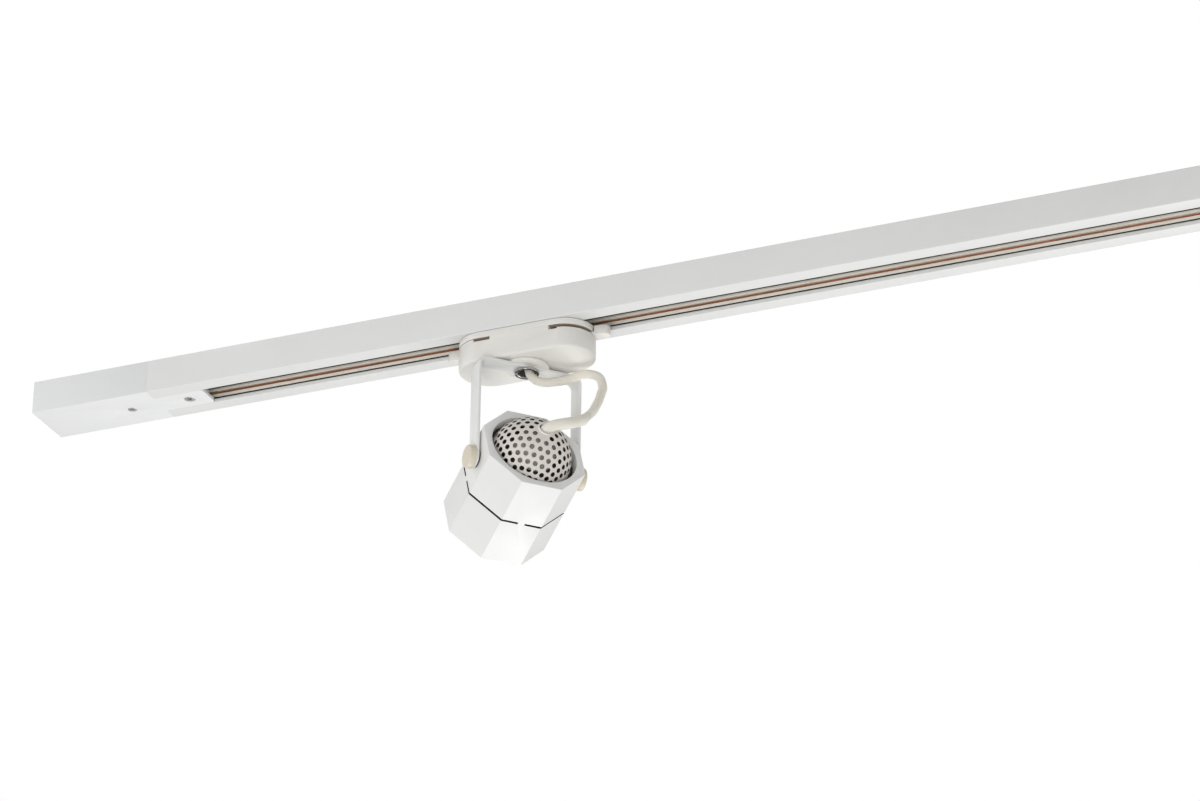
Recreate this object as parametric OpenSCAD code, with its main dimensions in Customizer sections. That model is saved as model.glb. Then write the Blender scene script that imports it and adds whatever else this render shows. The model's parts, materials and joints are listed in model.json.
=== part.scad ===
// Ceiling track with one octagonal spotlight, in millimetres.
// The origin is on the ceiling face, half way between the two ceiling holes.
// +X runs along the track, away from the feed, and everything hangs below Z = 0.

/* [Track] */
// Width of the track profile
track_w = 35; // [32:0.5:40]
// Height of the track profile
track_h = 20; // [19:0.5:24]
// Length of the track profile
track_len = 1000; // [900:10:2000]
// Width of the slot between the two lips
slot_w = 17; // [16:0.5:18]
// Thickness of the lips
lip_t = 2; // [1.5:0.1:2.5]
// Thickness of the side walls
track_wall = 1.5; // [1.2:0.1:2]
// Thickness of the web against the ceiling
web_t = 1.8; // [1.4:0.1:2.4]
// Radius of the long outer edges
track_edge_r = 0.6; // [0.3:0.1:1]
// Distance between the two ceiling holes
hole_spacing = 800; // [500:10:860]
// Diameter of the ceiling holes
ceiling_hole_d = 4.5; // [4:0.1:5.5]

/* [Conductors] */
// Thickness of an insulating liner
liner_t = 3.6; // [3.2:0.1:4]
// Depth of the copper's centre line below the ceiling
copper_depth = 11.8; // [11.4:0.1:12.4]
// Height of the copper strip
copper_w = 3.2; // [2.6:0.1:4]
// Thickness of the copper strip
copper_t = 1; // [0.8:0.1:1.2]
// Height of the mouth in front of the copper
mouth_h = 2; // [1.8:0.1:2.4]
// Depth of the mouth in front of the copper
mouth_depth = 1.8; // [1.6:0.1:2]
// Height of the two shallow grooves in a liner
groove_h = 0.8; // [0.5:0.1:1]
// Depth of the two shallow grooves in a liner
groove_depth = 1.2; // [0.5:0.1:1.4]
// How far the copper stops short of each end of the track
copper_setback = 3; // [2:0.5:6]

/* [Feed] */
// Length of the feed housing in front of the track
feed_len = 74; // [66:1:110]
// Wall of the feed cover
feed_wall = 1.8; // [1.4:0.1:2.4]
// Length of the tongue inside the slot
tongue_len = 31; // [28:1:60]
// Height of the tongue
tongue_h = 8; // [6:0.5:9]
// Thickness of the feed's base plate
base_t = 3; // [2.5:0.1:4]
// Distance of the cover screw from the track end
cover_screw_back = 18; // [12:1:24]
// Distance of the locking screw into the track
lock_screw_in = 19; // [12:1:24]
// Diameter of the cable inlet in the base
inlet_d = 10; // [8:0.5:12]
// Distance of the cable inlet from the outer end
inlet_in = 14; // [12:0.5:18]
// Length of the terminal block
terminal_l = 20; // [16:1:22]
// Width of the terminal block
terminal_w = 18; // [14:1:22]
// Height of the terminal block
terminal_h = 10; // [8:0.5:12]

/* [End cap] */
// Thickness of the end cap's flange
cap_t = 2.5; // [2:0.5:6]
// Length of the end cap's plug
cap_plug_len = 12; // [8:1:20]

/* [Adapter] */
// Place of the adapter along the track
adapter_x = -270; // [-400:1:400]
// Length of the adapter
adapter_l = 80; // [78:0.5:90]
// Width of the adapter
adapter_w = 34; // [33:0.5:36]
// Height of the adapter below the track
adapter_h = 17.7; // [17:0.1:20]
// Gap between the track and the adapter
slide_gap = 0.3; // [0.2:0.05:0.6]
// Thickness of the top plate
plate_t = 3.7; // [3:0.1:4.5]
// Height of the slots that the levers turn in
lever_slot_h = 1.8; // [1.6:0.1:2.4]
// Radius of the adapter's lower edge
adapter_edge_r = 1.5; // [1:0.5:5]
// Thickness of the adapter's floor under the swivel nut
floor_t = 3; // [2.5:0.1:4]
// How far the left slot runs past its lever's axis
slot_past_left = 7.4; // [3:0.1:8]
// How far the right slot runs past its lever's axis
slot_past_right = 3; // [3:0.1:8]

/* [Lock levers] */
// Diameter of a lever's hub
hub_d = 21; // [18:0.5:22]
// Thickness of a lever's arm
lever_t = 1.4; // [1.2:0.1:1.4]
// Width of a lever's ear
ear_w = 7; // [5:0.5:8]
// How far an ear reaches from its lever's axis
ear_reach = 26; // [23:0.5:30]
// Height of an ear
ear_h = 5.5; // [4:0.5:7]
// Angle of an ear from the track's line when locked
ear_angle = 6; // [0:1:20]
// Diameter of a lever's shaft
shaft_d = 9.8; // [8:0.1:12]
// Diameter of a lever's lower pin
pin_d = 6; // [4:0.5:8]
// Length of a lever's lower pin
pin_len = 6; // [4:0.5:7]
// Length of a cam across the channel
cam_l = 23.6; // [22:0.2:24]
// Width of a cam
cam_w = 10; // [8:0.5:12]
// Height of a cam
cam_h = 3.2; // [2.6:0.1:3.2]
// Side of the square key that turns a cam
key_s = 5; // [4:0.1:5.5]
// Width of a contact blade
blade_w = 3; // [2:0.5:4]
// Thickness of a contact blade
blade_t = 0.6; // [0.4:0.1:0.8]

/* [Swivel and yoke] */
// Turn of the yoke from the track's line
pan_rest = 47.7; // [-120:0.1:120]
// Diameter of the swivel disc
disc_d = 25; // [20:0.5:30]
// Thickness of the swivel disc
disc_t = 1.5; // [1.2:0.1:3]
// Outer diameter of the hollow nipple
nipple_d = 10; // [9:0.5:11]
// Bore of the hollow nipple
nipple_bore_d = 7.6; // [7:0.1:8]
// Diameter of the nipple's collar
collar_d = 14; // [13:0.5:15]
// Height of the nipple's collar
collar_h = 1.5; // [1:0.1:2]
// Width of the swivel nut across its flats
nut_af = 14; // [13:0.5:15]
// Height of the swivel nut
nut_h = 3.5; // [3:0.1:4]
// Width of the yoke strap
strap_w = 11; // [10:0.5:14]
// Thickness of the yoke strap
strap_t = 1.5; // [1.2:0.1:2]
// Radius of the yoke's outer bends
bend_r = 5; // [3:0.5:8]
// Distance of the tilt axis below the strap's upper face
arm_drop = 60.6; // [58:0.2:80]
// Gap between the head and each yoke arm
arm_gap = 0.9; // [0.7:0.1:2]

/* [Head] */
// Tilt of the head from straight down
tilt_rest = 67.1; // [0:0.1:90]
// Wall of the octagonal head at its flats
head_wall = 2.1; // [1.8:0.1:4]
// Length of the head
head_len = 59.2; // [59:0.2:70]
// Distance of the tilt axis from the head's rear face
pivot_back = 14; // [13.5:0.1:16]
// Distance of the slits from the head's rear face
seam_back = 29.7; // [26:0.1:33]
// Width of the slits
slit_w = 1.3; // [0.6:0.1:1.5]
// Width of the four bridges between the slits
bridge_w = 4; // [3:0.5:8]
// Gap between the lamp and the bore of the head
lamp_room = 1.5; // [1.2:0.1:2]
// Diameter of the rear opening
opening_d = 50; // [49:0.1:50.4]
// Depth of the rear opening
opening_depth = 6; // [5:0.1:6.4]

/* [Dome] */
// Outer radius of the perforated dome
dome_r = 23; // [22:0.1:23.4]
// Thickness of the dome's sheet
dome_t = 0.8; // [0.6:0.1:1]
// Diameter of the perforations
perf_d = 2.8; // [1.6:0.1:3]
// Distance between neighbouring perforations
perf_pitch = 5; // [4.6:0.1:6.5]
// Hole for the cord at the dome's top
dome_hole_d = 8.4; // [8:0.1:10]
// Wall of the cord's collar
dome_collar_wall = 0.4; // [0.3:0.1:0.6]
// Width of the collar's rim
dome_collar_rim = 0.6; // [0.5:0.1:1.2]

/* [Tilt knobs] */
// Diameter of a tilt knob
knob_d = 13; // [10:0.5:16]
// Thickness of a tilt knob
knob_t = 4; // [3:0.1:6]
// Radius of a knob's outer edge
knob_edge_r = 0.8; // [0.4:0.1:1.2]
// Diameter of a tilt screw
tilt_screw_d = 4; // [3:0.1:5]

/* [Lamp] */
// Diameter of the reflector lamp
lamp_d = 50; // [48:0.5:50.5]
// Length of the lamp without its pins
lamp_len = 46.5; // [46:0.5:48]
// Depth of the lamp's face behind the head's front
lamp_recess = 1.7; // [1.7:0.1:3]
// Length of the lamp's pins
lamp_pin_len = 7; // [6:0.5:8]
// Diameter of the lampholder
holder_d = 24; // [22:0.5:26]
// Length of the lampholder
holder_len = 13.8; // [12:0.1:15]
// Thickness of the mounting plate
plate_in_t = 1.2; // [1:0.1:1.4]

/* [Cord] */
// Diameter of the lamp cord
cord_d = 5; // [4.6:0.1:5.2]

/* [Hidden] */

$fn = 64;
// Extra length that carries a cut clear of a face
over = 1;
// Radial clearance of a pin or screw in its hole
fit = 0.05;
// Clearance between pieces that slide past each other
slip = 0.2;
// Gap between faces that turn on each other
turn_gap = 0.1;

white = [0.93, 0.93, 0.91];
warm_white = [0.92, 0.90, 0.87];
ivory = [0.90, 0.86, 0.77];
steel = [0.72, 0.72, 0.71];
brass = [0.80, 0.62, 0.30];
copper = [0.72, 0.42, 0.26];
ceramic = [0.88, 0.87, 0.83];
glass = [0.80, 0.84, 0.86];
black = [0.11, 0.105, 0.10];

// Levels, from the ceiling down
z_lip_top = lip_t - track_h;
z_lip = -track_h;
z_plate = z_lip - slide_gap;
z_slot = z_plate - plate_t;
z_body = z_slot - lever_slot_h;
z_bottom = z_plate - adapter_h;
z_floor = z_bottom + floor_t;
z_disc_top = z_bottom - turn_gap;
z_disc = z_disc_top - disc_t;
z_strap = z_disc - strap_t;
z_nipple = z_strap - collar_h;
z_pivot = z_disc - arm_drop;

// Track and feed
track_x0 = -track_len / 2;
track_x1 = track_len / 2;
channel_w = track_w - 2 * track_wall;
liner_y = channel_w / 2 - liner_t;
copper_y = liner_y + mouth_depth;
// Distance of each groove from the copper
groove_step = 3.3;
feed_x0 = track_x0 - feed_len;
tongue_x1 = track_x0 + tongue_len;
// Length of the tongue's nose, as thin as the lips, that a turned cam and its blade pass over
nose_len = 4;
cover_screw_x = track_x0 - cover_screw_back;
lock_screw_x = track_x0 + lock_screw_in;
terminal_gap = 2;
terminal_x = feed_x0 + inlet_in + inlet_d / 2 + terminal_l / 2 + terminal_gap;
cover_head_d = 5;
lock_head_d = 6;
head_depth = 1.4;
head_sunk = 0.3;
cover_shank_d = 3;
lock_shank_d = 4;
drive_d = 2;
pillar_d = 8;
terminal_screw_d = 4;
terminal_screw_h = 1.2;
finger_w = mouth_h - 2 * slip;
finger_t = mouth_depth - slip;
finger_len = 30;

// Adapter and levers
end_r = adapter_w / 2;
lever_x = adapter_l / 2 - end_r;
hub_r = hub_d / 2;
lever_z = z_slot - (lever_slot_h - lever_t) / 2;
ear_gap = 0.9;
ear_in_r = end_r + ear_gap;
ear_top = z_lip - slide_gap - 2 * slip;
cam_z = z_lip_top + slide_gap;
cam_top = cam_z + cam_h;
blade_z = -copper_depth - blade_t / 2;
blade_tip = copper_y - slip;
nut_room = 2;
cavity_d = nut_af / cos(30) + 2 * nut_room;
adapter_screw_d = 2.9;
adapter_screw_y = (cavity_d / 2 + end_r) / 2;
adapter_screw_len = 9;
notch_l = 5;
notch_h = 0.8;
slot_far_left = 120;
slot_far_right = 40;
fill_from = -81;
blade_rivet_d = 4;
blade_rivet_h = 0.8;

// Swivel
nipple_rim = 1.8;
mouth_d = collar_d - 2 * nipple_rim;
swivel_washer_t = 0.7;
swivel_washer_d = nut_af + 1;
swivel_nut_z = z_floor + turn_gap + swivel_washer_t;
nipple_top = swivel_nut_z + nut_h + swivel_washer_t;

// Head, along its own axis with the tilt axis at 0 and the rear face positive
head_bore_d = lamp_d + 2 * lamp_room;
head_af = head_bore_d + 2 * head_wall;
rear_z = pivot_back;
front_z = pivot_back - head_len;
seam_z = pivot_back - seam_back;
shoulder_z = rear_z - opening_depth;
dome_foot_z = shoulder_z - dome_t;
dome_sunk = 1;
dome_centre_z = shoulder_z - dome_sunk;
dome_top_z = dome_centre_z + dome_r;
plate_in_z = dome_foot_z - plate_in_t;
dome_collar_lip = 0.6;
perf_turn = 46;
perf_shift = [0.4, 3.5];
ring_t = 1.2;
ring_w = 2.5;
ring_opening = 4;
arm_in = head_af / 2 + arm_gap;
arm_out = arm_in + strap_t;
knob_in = arm_out + turn_gap;
tilt_screw_out = knob_in + 0.7 * knob_t;
washer_t = arm_gap - turn_gap;
tilt_nut_h = 2.6;
tilt_nut_af = 7;
tilt_nut_out = sqrt(pow(head_bore_d / 2, 2) - pow(tilt_nut_af / 2 / cos(30), 2));
lamp_front_z = front_z + lamp_recess;
lamp_back_z = lamp_front_z + lamp_len;
holder_z = lamp_back_z + slip;
holder_top = holder_z + holder_len;
lamp_pin_pitch = 10;
lamp_pin_d = 3;
lamp_foot_d = 5;
lamp_foot_h = 2;
lamp_base_d = 22;
front_ring_w = 3.4;
lens_seat_d = 0.92 * lamp_d;
lens_seat_h = 2.5;
lens_t = 1.5;
reflector_d = 0.84 * lamp_d;
reflector_back_d = 0.3 * lamp_d;
reflector_h = 0.45 * lamp_len;

// The lamp cord's route, from the swivel axis, in the yoke's own frame: out of
// the nipple, under and past one arm, and back into the dome
cord_route = [
    [1.1, 0, -35], [1.1, 0, -39], [2.2, -0.7, -43.3], [5.3, -2.1, -46.4], [9.6, -4.1, -47.5], [14, -6, -47],
    [20.5, -8.5, -45.5], [25, -11, -43.5], [29, -14, -42.5], [33, -18, -44], [35, -21.5, -47.5],
    [35.5, -24, -54], [34, -25, -58.5], [32, -26.5, -63.5], [29.5, -28, -68.5], [26.5, -30, -73.5],
    [22.5, -31.5, -78], [19, -33.5, -81.5], [13.5, -34.5, -84.5], [7.5, -34, -86.5],
    [3, -31.5, -87.5], [0, -27, -89], [0, -21, -91.5]
];
cord_sides = 10;
// A direction that no stretch of the cord runs along
cord_side = [0.28, 0.96, 0.03];

function unit(v) = v / norm(v);
function heading(route, i) = unit(route[min(i + 1, len(route) - 1)] - route[max(i - 1, 0)]);
function across(d) = unit(cross(d, cord_side));

module at_adapter() { translate([adapter_x, 0, 0]) children(); }
module at_lever(side) { at_adapter() translate([side * lever_x, 0, 0]) children(); }
module at_yoke() { at_adapter() rotate([0, 0, pan_rest]) children(); }
module at_head() { at_yoke() translate([0, 0, z_pivot]) rotate([tilt_rest, 0, 0]) children(); }

// A prism along X, drawn as its section in Y and Z
module along_x(x0, x1) {
    translate([x0, 0, 0]) rotate([90, 0, 90]) linear_extrude(x1 - x0) children();
}

// A cylinder along X
module rod_x(x0, x1, d) { translate([x0, 0, 0]) rotate([0, 90, 0]) cylinder(h = x1 - x0, d = d); }

// A cylinder between two levels
module rod_z(z0, z1, d) { translate([0, 0, z0]) cylinder(h = z1 - z0, d = d); }

// A rectangle in Y and Z between two corners
module cell(y0, z0, y1, z1) { translate([min(y0, y1), z0]) square([abs(y1 - y0), z1 - z0]); }

// A rectangle with round corners, standing on its lower edge
module round_box(w, h, r) {
    translate([-w / 2 + r, 0]) square([w - 2 * r, h]);
    translate([-w / 2, r]) square([w, h - 2 * r]);
    for (sx = [-1, 1], y = [r, h - r]) translate([sx * (w / 2 - r), y]) circle(r);
}

// The plan of the adapter: a bar with two round ends
module stadium(l, w) {
    square([l - w, w], center = true);
    for (sx = [-1, 1]) translate([sx * (l - w) / 2, 0]) circle(d = w);
}

// Slotted screw along Z with its head's face at 0 and its shank upwards
module slotted_screw(head_d, head_h, shank_d, shank_len) {
    difference() {
        union() {
            rod_z(0, head_h, head_d);
            rod_z(head_h, shank_len, shank_d);
        }
        rod_z(-over, head_h / 2, drive_d);
    }
}

// Track
module track_section() {
    difference() {
        translate([0, z_lip]) round_box(track_w, track_h, track_edge_r);
        cell(-channel_w / 2, z_lip_top, channel_w / 2, -web_t);
        cell(-slot_w / 2, z_lip - over, slot_w / 2, z_lip_top + over);
    }
}

module track_profile() {
    color(white) difference() {
        along_x(track_x0, track_x1) track_section();
        for (sx = [-1, 1]) translate([sx * hole_spacing / 2, 0, 0])
            rod_z(-web_t - over, over, ceiling_hole_d);
    }
}

// Section of a copper strip
module strip_section(side) {
    low = -copper_depth - copper_w / 2;
    cell(side * copper_y, low, side * (copper_y + copper_t), low + copper_w);
}

// A recess in a liner's inner face, about a level
module recess(side, z, h, depth) {
    cell(side * (liner_y - over), z - h / 2, side * (liner_y + depth), z + h / 2);
}

module liner_section(side) {
    difference() {
        cell(side * liner_y, z_lip_top, side * channel_w / 2, -web_t);
        recess(side, -copper_depth, mouth_h, mouth_depth + copper_t / 2);
        strip_section(side);
        for (dz = [-1, 1]) recess(side, dz * groove_step - copper_depth, groove_h, groove_depth);
    }
}

module liner(side) { color(ivory) along_x(track_x0, track_x1) liner_section(side); }
module liner_near() { liner(-1); }
module liner_far() { liner(1); }

module conductor(side) {
    color(copper) along_x(track_x0 + copper_setback, track_x1 - copper_setback) strip_section(side);
}
module conductor_near() { conductor(-1); }
module conductor_far() { conductor(1); }

module end_cap() {
    plug_w = 2 * (liner_y - slip);
    color(white) {
        along_x(track_x1, track_x1 + cap_t) translate([0, z_lip]) round_box(track_w, track_h, track_edge_r);
        along_x(track_x1 - cap_plug_len, track_x1) {
            cell(-plug_w / 2, z_lip_top + slip, plug_w / 2, -web_t - slip);
            cell(-slot_w / 2 + slip, z_lip, slot_w / 2 - slip, z_lip_top + over);
        }
    }
}

// Feed
module feed_cover() {
    tongue_w = slot_w - 2 * slip;
    tongue_r = 2;
    color(white) difference() {
        union() {
            difference() {
                along_x(feed_x0, track_x0) translate([0, z_lip]) round_box(track_w, track_h, track_edge_r);
                translate([feed_x0 + feed_wall, -track_w / 2 + feed_wall, z_lip + feed_wall])
                    cube([feed_len, track_w - 2 * feed_wall, track_h]);
            }
            translate([track_x0 - feed_wall - over, -tongue_w / 2, z_lip])
                cube([tongue_len + feed_wall + over - tongue_r, tongue_w, tongue_h]);
            translate([tongue_x1 - tongue_r - over, -tongue_w / 2 + tongue_r, z_lip])
                cube([tongue_r + over, tongue_w - 2 * tongue_r, tongue_h]);
            for (sy = [-1, 1]) translate([tongue_x1 - tongue_r, sy * (tongue_w / 2 - tongue_r), 0])
                rod_z(z_lip, z_lip + tongue_h, 2 * tongue_r);
        }
        translate([tongue_x1 - nose_len, -slot_w / 2, z_lip_top])
            cube([nose_len + over, slot_w, tongue_h]);
        translate([cover_screw_x, 0, 0]) {
            rod_z(z_lip - over, z_lip + head_depth, cover_head_d + 2 * slip);
            rod_z(z_lip, z_lip + feed_wall + over, cover_shank_d + 2 * fit);
        }
        translate([lock_screw_x, 0, 0]) {
            rod_z(z_lip - over, z_lip + head_depth, lock_head_d + 2 * slip);
            rod_z(z_lip, z_lip + tongue_h + over, lock_shank_d + 2 * fit);
        }
    }
}

module feed_base() {
    base_w = track_w - 2 * feed_wall - 2 * fit;
    color(warm_white) difference() {
        union() {
            translate([feed_x0 + feed_wall + fit, -base_w / 2, -base_t])
                cube([feed_len - feed_wall - fit, base_w, base_t]);
            translate([cover_screw_x, 0, 0]) rod_z(z_lip + feed_wall, -base_t, pillar_d);
        }
        translate([feed_x0 + inlet_in, 0, 0]) rod_z(-base_t - over, over, inlet_d);
        translate([cover_screw_x, 0, 0]) rod_z(z_lip, -base_t, cover_shank_d + 2 * fit);
    }
}

// Places of the two terminals on their block
module at_terminals() {
    for (sy = [-1, 1]) translate([terminal_x, sy * terminal_w / 4, -base_t - terminal_h]) children();
}

module feed_terminal_block() {
    color(ceramic) difference() {
        translate([terminal_x - terminal_l / 2, -terminal_w / 2, -base_t - terminal_h])
            cube([terminal_l, terminal_w, terminal_h]);
        at_terminals() rod_z(-over, terminal_h / 2, terminal_screw_d + 2 * fit);
    }
}

module feed_terminal_screws() {
    color(brass) at_terminals() translate([0, 0, terminal_h / 2 - 2 * terminal_screw_h])
        slotted_screw(terminal_screw_d, terminal_screw_h, terminal_screw_d - over, 2 * terminal_screw_h);
}

// A contact finger runs from the terminal block along the side and into the liner's mouth
module feed_contact(side) {
    start_x = terminal_x + terminal_l / 2;
    start_y = side * terminal_w / 4;
    tip_x = track_x0 + finger_len;
    color(brass) translate([0, 0, -copper_depth - finger_w / 2]) linear_extrude(finger_w) polygon([
        [start_x, start_y], [start_x, side * copper_y], [tip_x, side * copper_y],
        [tip_x, side * (copper_y - finger_t)], [start_x + finger_t, side * (copper_y - finger_t)],
        [start_x + finger_t, start_y]
    ]);
}
module feed_contact_near() { feed_contact(-1); }
module feed_contact_far() { feed_contact(1); }

module feed_cover_screw() {
    color(steel) translate([cover_screw_x, 0, z_lip + head_sunk])
        slotted_screw(cover_head_d, head_depth - head_sunk, cover_shank_d, track_h - base_t - 3 * head_sunk);
}

module feed_lock_screw() {
    color(steel) translate([lock_screw_x, 0, z_lip + head_sunk])
        slotted_screw(lock_head_d, head_depth - head_sunk, lock_shank_d, track_h - web_t - head_sunk);
}

// Adapter
module adapter_half_section() {
    body_h = z_slot - z_bottom;
    translate([0, z_bottom]) {
        square([end_r - adapter_edge_r, body_h]);
        translate([0, adapter_edge_r]) square([end_r, body_h - adapter_edge_r]);
        translate([end_r - adapter_edge_r, adapter_edge_r]) circle(adapter_edge_r);
    }
}

module adapter_solid() {
    along_x(-lever_x, lever_x) for (m = [0, 1]) mirror([m, 0]) adapter_half_section();
    for (sx = [-1, 1]) translate([sx * lever_x, 0, 0])
        rotate_extrude() intersection() {
            adapter_half_section();
            translate([0, z_bottom - over]) square([adapter_w, adapter_h + 2 * over]);
        }
}

// A sector about a lever's axis, reaching past the adapter
module sector(first, last) {
    sides = 6;
    polygon(concat([[0, 0]], [for (i = [0 : sides]) let (a = first + i * (last - first) / sides)
        adapter_l * [cos(a), sin(a)]]));
}

// Plan of the slot that a lever turns in, from its axis
module lever_slot(side, past, far_angle) {
    circle(hub_r + slip);
    mirror([side < 0 ? 1 : 0, 0]) sector(-90 - atan2(past, end_r), far_angle);
}

module adapter_body() {
    slots = [[-1, slot_past_left, slot_far_left], [1, slot_past_right, slot_far_right]];
    color(warm_white) at_adapter() difference() {
        adapter_solid();
        for (s = slots) translate([s[0] * lever_x, 0, z_body]) {
            linear_extrude(lever_slot_h + over) lever_slot(s[0], s[1], s[2]);
            rod_z(-pin_len - slip, over, pin_d + 2 * fit);
        }
        translate([lever_x - slot_past_right, -adapter_w, z_body - notch_h])
            cube([notch_l, adapter_w - end_r / 2, lever_slot_h + notch_h + over]);
        rod_z(z_floor, z_slot + over, cavity_d);
        rod_z(z_bottom - over, z_floor + over, nipple_d + 2 * fit);
        for (sy = [-1, 1]) translate([0, sy * adapter_screw_y, 0])
            rod_z(z_plate - adapter_screw_len - slip, z_slot + over, adapter_screw_d + 2 * fit);
    }
}

module adapter_top_plate() {
    color(warm_white) at_adapter() difference() {
        translate([0, 0, z_slot]) linear_extrude(plate_t) stadium(adapter_l, adapter_w);
        for (sx = [-1, 1]) translate([sx * lever_x, 0, 0])
            rod_z(z_slot - over, z_plate + over, shaft_d + 2 * fit);
        for (sy = [-1, 1]) translate([0, sy * adapter_screw_y, 0]) {
            rod_z(z_slot - over, z_plate + over, adapter_screw_d + 2 * fit);
            rod_z(z_plate - head_depth, z_plate + over, cover_head_d + 2 * fit);
        }
    }
}

module adapter_screws() {
    color(steel) at_adapter() for (sy = [-1, 1]) translate([0, sy * adapter_screw_y, z_plate])
        mirror([0, 0, 1]) slotted_screw(cover_head_d, head_depth, adapter_screw_d, adapter_screw_len);
}

// Lock levers: a hub in the slot with an ear outside, a shaft up into the channel and a pin below.
// The left one also fills the near side of its slot.
module lever_arm() {
    tip_x = ear_reach - ear_w / 2;
    translate([0, -ear_w / 2]) square([tip_x, ear_w]);
    translate([tip_x, 0]) circle(d = ear_w);
}

module lock_lever(side) {
    color(warm_white) at_lever(side) {
        translate([0, 0, lever_z - lever_t]) linear_extrude(lever_t) {
            circle(hub_r);
            mirror([side < 0 ? 1 : 0, 0]) rotate(ear_angle) lever_arm();
            if (side < 0) mirror([1, 0]) intersection() {
                circle(end_r - slip);
                sector(fill_from, ear_angle);
            }
        }
        translate([0, 0, ear_top - ear_h]) linear_extrude(ear_h)
            mirror([side < 0 ? 1 : 0, 0]) rotate(ear_angle) difference() {
                lever_arm();
                circle(ear_in_r);
            }
        rod_z(lever_z - lever_t, cam_z, shaft_d);
        rod_z(z_body - pin_len, lever_z, pin_d);
        translate([-key_s / 2, -key_s / 2, cam_z - over]) cube([key_s, key_s, cam_h + over - slip]);
    }
}
module lock_lever_left() { lock_lever(-1); }
module lock_lever_right() { lock_lever(1); }

module lock_cam(side) {
    key_hole = key_s + 2 * fit;
    color(ivory) at_lever(side) difference() {
        union() {
            translate([0, 0, cam_z]) linear_extrude(cam_h) intersection() {
                square([cam_w, cam_l], center = true);
                circle(d = cam_l);
            }
            rod_z(cam_top - over, blade_z, cam_w - over);
        }
        translate([-key_hole / 2, -key_hole / 2, cam_z - over])
            cube([key_hole, key_hole, cam_h + over - slip + fit]);
    }
}
module lock_cam_left() { lock_cam(-1); }
module lock_cam_right() { lock_cam(1); }

module contact_blade(side) {
    color(brass) at_lever(side) {
        translate([0, 0, blade_z]) linear_extrude(blade_t) {
            circle(d = cam_w - 2 * over);
            translate([-blade_w / 2, min(0, side * blade_tip)]) square([blade_w, blade_tip]);
        }
        rod_z(blade_z + blade_t, blade_z + blade_t + blade_rivet_h, blade_rivet_d);
    }
}
module contact_blade_left() { contact_blade(-1); }
module contact_blade_right() { contact_blade(1); }

// Swivel
module swivel_disc() {
    color(warm_white) at_yoke() difference() {
        rod_z(z_disc, z_disc_top, disc_d);
        rod_z(z_disc - over, z_disc_top + over, nipple_d + 2 * fit);
    }
}

module swivel_nipple() {
    color(steel) at_yoke() difference() {
        union() {
            rod_z(z_nipple, z_strap, collar_d);
            rod_z(z_nipple, nipple_top, nipple_d);
        }
        rod_z(z_nipple - over, nipple_top + over, nipple_bore_d);
        translate([0, 0, z_nipple]) cylinder(h = 2 * collar_h, d1 = mouth_d, d2 = nipple_bore_d);
    }
}

module swivel_washer() {
    color(steel) at_yoke() difference() {
        rod_z(swivel_nut_z - swivel_washer_t, swivel_nut_z, swivel_washer_d);
        rod_z(z_floor - over, swivel_nut_z + over, nipple_d + 2 * fit);
    }
}

module swivel_nut() {
    color(steel) at_yoke() difference() {
        translate([0, 0, swivel_nut_z]) cylinder(h = nut_h, d = nut_af / cos(30), $fn = 6);
        rod_z(z_floor, swivel_nut_z + nut_h + over, nipple_d + 2 * fit);
    }
}

// Yoke: a strap bent into a U, with round ends about the tilt axis
module yoke_section() {
    inner_r = bend_r - strap_t;
    difference() {
        union() {
            translate([-arm_out + bend_r, -bend_r]) square([2 * (arm_out - bend_r), bend_r]);
            translate([-arm_out, -arm_drop]) square([2 * arm_out, arm_drop - bend_r]);
            for (sx = [-1, 1]) translate([sx * (arm_out - bend_r), -bend_r]) circle(bend_r);
        }
        translate([-arm_in + inner_r, -bend_r - over]) square([2 * (arm_in - inner_r), inner_r + over]);
        translate([-arm_in, -arm_drop - over]) square([2 * arm_in, arm_drop + over - bend_r]);
        for (sx = [-1, 1]) translate([sx * (arm_in - inner_r), -bend_r]) circle(inner_r);
    }
}

module yoke_strap() {
    color(white) at_yoke() difference() {
        union() {
            translate([0, strap_w / 2, z_disc]) rotate([90, 0, 0]) linear_extrude(strap_w) yoke_section();
            translate([0, 0, z_pivot]) {
                rod_x(-arm_out, -arm_in, strap_w);
                rod_x(arm_in, arm_out, strap_w);
            }
        }
        translate([0, 0, z_pivot]) rod_x(-arm_out - over, arm_out + over, tilt_screw_d + 2 * fit);
        rod_z(z_strap - over, z_disc + over, nipple_d + 2 * fit);
    }
}

// Cord: a tube swept along its route, with a ring of points square to each stretch
module lamp_cord() {
    rings = len(cord_route);
    points = [for (i = [0 : rings - 1]) let (d = heading(cord_route, i), u = across(d), v = cross(d, u))
        for (k = [0 : cord_sides - 1]) let (a = 360 * k / cord_sides)
            cord_route[i] + cord_d / 2 * (cos(a) * u + sin(a) * v)];
    walls = [for (i = [0 : rings - 2], k = [0 : cord_sides - 1])
        let (j = (k + 1) % cord_sides, b = i * cord_sides, c = b + cord_sides)
            each [[b + k, c + k, c + j], [b + k, c + j, b + j]]];
    ends = [[for (k = [0 : cord_sides - 1]) k],
        [for (k = [cord_sides - 1 : -1 : 0]) (rings - 1) * cord_sides + k]];
    color(ivory) at_yoke() polyhedron(points, concat(walls, ends));
}

// Head
module octagon(af) { rotate(22.5) circle(d = af / cos(22.5), $fn = 8); }

module slits() {
    difference() {
        translate([-head_af, -head_af, seam_z - slit_w / 2]) cube([2 * head_af, 2 * head_af, slit_w]);
        for (a = [0, 90]) rotate(a) translate([-2 * head_af, -bridge_w / 2, seam_z - slit_w])
            cube([4 * head_af, bridge_w, 2 * slit_w]);
    }
}

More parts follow.
